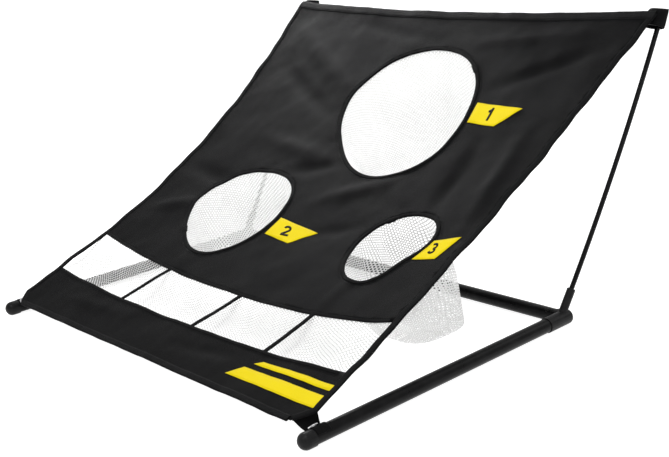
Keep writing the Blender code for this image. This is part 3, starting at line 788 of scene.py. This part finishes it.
def build_prints():
    """Number patches beside the holes, and two stripes on the front band."""
    tags = {
        1: [(0.1994, 0.6657), (0.2973, 0.6589), (0.2643, 0.6171), (0.2071, 0.6199)],
        2: [(-0.0170, 0.3491), (0.0885, 0.3365), (0.0496, 0.3001), (-0.0187, 0.3079)],
        3: [(0.3209, 0.3705), (0.3628, 0.3872), (0.3494, 0.3362), (0.3113, 0.3262)],
    }
    digits = {
        1: ((0.2408, 0.6425), (0.0225, -0.0012), (-0.0025, 0.0282)),
        2: ((0.0215, 0.3251), (0.0260, 0.0007), (-0.0084, 0.0223)),
        3: ((0.3315, 0.3556), (0.0172, 0.0009), (-0.0027, 0.0231)),
    }
    for number, corners in tags.items():
        print_patch("number_patch_%d" % number, corners, YELLOW)
        print_digit("number_%d" % number, number, *digits[number], INK)
    print_patch("front_stripe_upper",
                [(0.225, 0.065), (0.237, 0.074), (0.386, 0.079), (0.386, 0.068)], YELLOW)
    print_patch("front_stripe_lower",
                [(0.195, 0.033), (0.215, 0.055), (0.388, 0.058), (0.389, 0.034)], YELLOW)


# ---------------------------------------------------------------- corners

ROD_FOOT = (0.538, 0.027)   # y and z, from the front ends of the tubes
ROD_RISE = (0.226, 0.400)
ROD_SPREAD = 0.0185         # how far a rod leans outwards
ROD_BOW = 0.0095


def rod_point(side, share):
    """A point on a rod's middle line; past 1 the line runs on straight."""
    bend = 4 * ROD_BOW
    if share > 1:
        back = ROD_RISE[0] * share - bend * (share - 1)
    else:
        back = ROD_RISE[0] * share + bend * share * (1 - share)
    return Vector((side * (BASE_HALF + ROD_SPREAD * share), ROD_FOOT[0] + back - CENTRE_Y,
                   ROD_FOOT[1] + ROD_RISE[1] * share))


SLEEVE_FRONT = 2.4        # how much thicker a sleeve is in front of its rod than behind
SLEEVE_SHIFT = 0.0045     # how far it reaches inwards of the rod


def build_rod_pockets():
    """Sewn sleeves on the back of the top corners; each holds the tip of a rod."""
    for name, side in SIDES.items():
        mouth = rod_point(side, 1)
        along = rod_point(side, 1.1) - mouth
        along = Vector((0, along.y, along.z)).normalized()
        across = Vector((1, 0, 0))
        out = across.cross(along).normalized()
        rows, lengths = [], []
        shells = [(0.007, 0.0166, 0.0078), (0.010, 0.0170, 0.0082), (0.015, 0.0172, 0.0083),
                  (0.024, 0.0172, 0.0082), (0.032, 0.0172, 0.0070), (0.036, 0.0171, 0.0046),
                  (0.0380, 0.0168, 0.0016)]
        inner = [(0.036, 0.0156, 0.0008), (0.030, 0.0160, 0.0048), (0.014, 0.0162, 0.0068),
                 (0.007, 0.0158, 0.0064)]
        for height, half, thick in [shells[0]] + shells + inner + [shells[0]]:
            row = []
            for i in range(40):
                angle = tau * i / 40
                wide = half * bulged(cos(angle), 0.8)
                deep = thick * bulged(sin(angle), 1.3)
                if deep > 0:
                    deep *= SLEEVE_FRONT
                crumple = 0.0006 * noise.noise(Vector((wide * 90, height * 90, side * 2.0)))
                row.append(mouth + across * (wide - SLEEVE_SHIFT * side) + along * height
                           + out * (deep + crumple))
            rows.append(row)
            lengths.append(height)
        sleeve = grid_mesh("rod_sleeve_" + name, rows, TAPE, closed=True,
                           uv_rows=lambda r, i: (lengths[r], 0.002 * i))
        add_piece(sleeve, "cloth", "black_webbing", "rod_pocket_" + name)
        seams = [[(mouth + along * height + across * (w * 0.0005 - SLEEVE_SHIFT * side)
                   + outward * depth * (1 - (w / 37) ** 2) ** 0.65, outward)
                  for w in range(-34, 35, 2)]
                 for height in (0.0095, 0.0125)
                 for outward, depth in ((out, 0.0199), (-out, 0.0083))]
        add_piece(stitches("sleeve_stitching_" + name, seams, THREAD), "cloth", "black_webbing")


def build_corner_straps():
    """Webbing from each trimmed front corner of the cloth, bent over the tube round the stud."""
    for name, side in SIDES.items():
        rows = []
        for r in range(17):
            share = r / 16
            y = 0.0125 + 0.0235 * share
            row = []
            for i in range(15):
                lean = radians(-58 + 128 * i / 14)
                radius = 0.0121 + 0.0002 * noise.noise(Vector((i * 0.4, r * 0.4, side * 1.0)))
                row.append(Vector((side * (BASE_HALF - radius * sin(lean)), y - CENTRE_Y,
                                   AXIS_HEIGHT + radius * cos(lean))))
            inner_x = half_width(CORNER_TRIM[1]) - 0.008 - CORNER_TRIM[0] * (1 - share)
            inner_up = 0.008 + (CORNER_TRIM[1] - 0.004) * share
            target = lifted(side * inner_x, inner_up, 0.0005)
            start = row[-1]
            for i in range(1, 9):
                step = i / 8
                point = start.lerp(target, step)
                point.z -= 0.003 * sin(pi * step) * (1 - step)
                row.append(point)
            rows.append(row)
        strap = grid_mesh("corner_strap_" + name, rows, TAPE,
                          uv_rows=lambda r, i: (0.0015 * r, 0.0022 * i))
        thicken(strap, 0.0013)
        add_piece(strap, "cloth", "black_webbing", "corner_tab_" + name)


# ---------------------------------------------------------------- hard parts

def round_rings(start, direction, profile, sides=48):
    turn = Vector((0, 0, 1)).rotation_difference(Vector(direction).normalized())
    place = Matrix.Translation(start) @ turn.to_matrix().to_4x4()
    return [[place @ Vector((radius * cos(tau * i / sides), radius * sin(tau * i / sides), along))
             for i in range(sides)] for along, radius in profile]


def turned_piece(name, start, direction, profile, material, smooth=35):
    rows = round_rings(start, direction, profile)
    return grid_mesh(name, rows, material, closed=True, smooth=smooth,
                     uv_rows=lambda r, i: (0.001 * i, profile[r][0]))


def build_tubes():
    """The side tubes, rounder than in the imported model."""
    wall = [(0.0, 0.0096), (0.0, 0.0107), (0.0003, 0.011)]
    for name, side in SIDES.items():
        low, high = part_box("side_tube_" + name)
        length = high[1] - low[1]
        profile = wall + [(length - 0.0003, 0.011), (length, 0.0107), (length, 0.0096), (0, 0.0096)]
        tube = turned_piece("tube_" + name, (side * BASE_HALF, low[1], AXIS_HEIGHT), (0, 1, 0),
                            profile, STEEL)
        add_piece(tube, name + "_side", "tube_steel", "side_tube_" + name)


def dress_nodes():
    """Materials for the hard pieces that keep their own shape."""
    looks = {
        "back_tube": STEEL, "corner_fitting": PLASTIC, "front_cap": PLASTIC,
        "rod_socket": SOCKET, "rod_tip": RUBBER, "rod_": ROD, "corner_stud": METAL,
        "snap_button": STEEL, "grommet": METAL,
    }
    for name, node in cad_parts.items():
        for start, material in looks.items():
            if name.startswith(start):
                node.data.materials.clear()
                node.data.materials.append(material)
                break


# ---------------------------------------------------------------- stage, light and camera

def build_stage():
    """A pale floor and soft lights."""
    floor_nodes = Nodes("pale_floor", (0.55, 0.55, 0.55), 0.9)
    floor_nodes.shader.inputs["Emission Color"].default_value = (1, 1, 1, 1)
    floor_nodes.shader.inputs["Emission Strength"].default_value = 0.90
    floor_nodes.shader.inputs["Specular IOR Level"].default_value = 0.1
    where = floor_nodes.place("Object")
    blotch = floor_nodes.blotches(where, 0.5)
    floor_nodes.link(floor_nodes.shades(blotch, (0.54, 0.54, 0.54), (0.56, 0.56, 0.56)),
                     "Base Color")
    bpy.ops.mesh.primitive_plane_add(size=30, location=(0, 0, 0))
    floor = bpy.context.object
    floor.name = "floor"
    floor.data.materials.append(floor_nodes.material)

    bpy.context.scene.view_settings.view_transform = "Standard"
    world = bpy.data.worlds.new("soft_white")
    bpy.context.scene.world = world
    world.use_nodes = True
    world.node_tree.nodes["Background"].inputs["Color"].default_value = (1, 1, 1, 1)
    world.node_tree.nodes["Background"].inputs["Strength"].default_value = 0.68

    for name, place, size, power in (("key", (-1.15, 0.72, 1.05), 0.7, 12),
                                     ("top", (0.7, -1.3, 2.9), 1.6, 40),
                                     ("fill", (2.4, -0.4, 1.6), 1.2, 5),
                                     ("back", (0.9, 2.6, 1.7), 1.4, 8)):
        light = bpy.data.lights.new(name, "AREA")
        light.energy = power
        light.size = size
        lamp = bpy.data.objects.new(name, light)
        bpy.context.scene.collection.objects.link(lamp)
        lamp.location = place
        aim = Vector((0, 0, 0.15)) - Vector(place)
        lamp.rotation_euler = aim.to_track_quat("-Z", "Y").to_euler()


def build_camera():
    """Looks from the right and the front, a little from above."""
    data = bpy.data.cameras.new("camera")
    camera = bpy.data.objects.new("camera", data)
    bpy.context.scene.collection.objects.link(camera)
    azimuth, elevation, roll = radians(48.7), radians(17.1), radians(-4.56)
    backward = Vector((sin(azimuth) * cos(elevation), -cos(azimuth) * cos(elevation),
                       sin(elevation)))
    right = Vector((0, 0, 1)).cross(backward).normalized()
    upward = backward.cross(right)
    turned_right = cos(roll) * right + sin(roll) * upward
    turned_up = -sin(roll) * right + cos(roll) * upward
    matrix = Matrix((turned_right, turned_up, backward)).transposed().to_4x4()
    matrix.translation = (1.4475, -0.8157 - CENTRE_Y, 0.6788)
    camera.matrix_world = matrix
    data.sensor_width = 36
    data.lens = 1141.8 / 669 * 36
    data.shift_x = -14.5 / 669
    data.shift_y = 13.6 / 669
    data.clip_start = 0.01
    bpy.context.scene.camera = camera


build_camera()
panel, band = build_panels()
build_edges()
build_hole_bindings()
bags = build_pocket_nets()
tray, tray_rows = build_window_net()
build_prints()
build_rod_pockets()
build_corner_straps()
build_tubes()
dress_nodes()
build_stage()

bpy.context.view_layer.update()
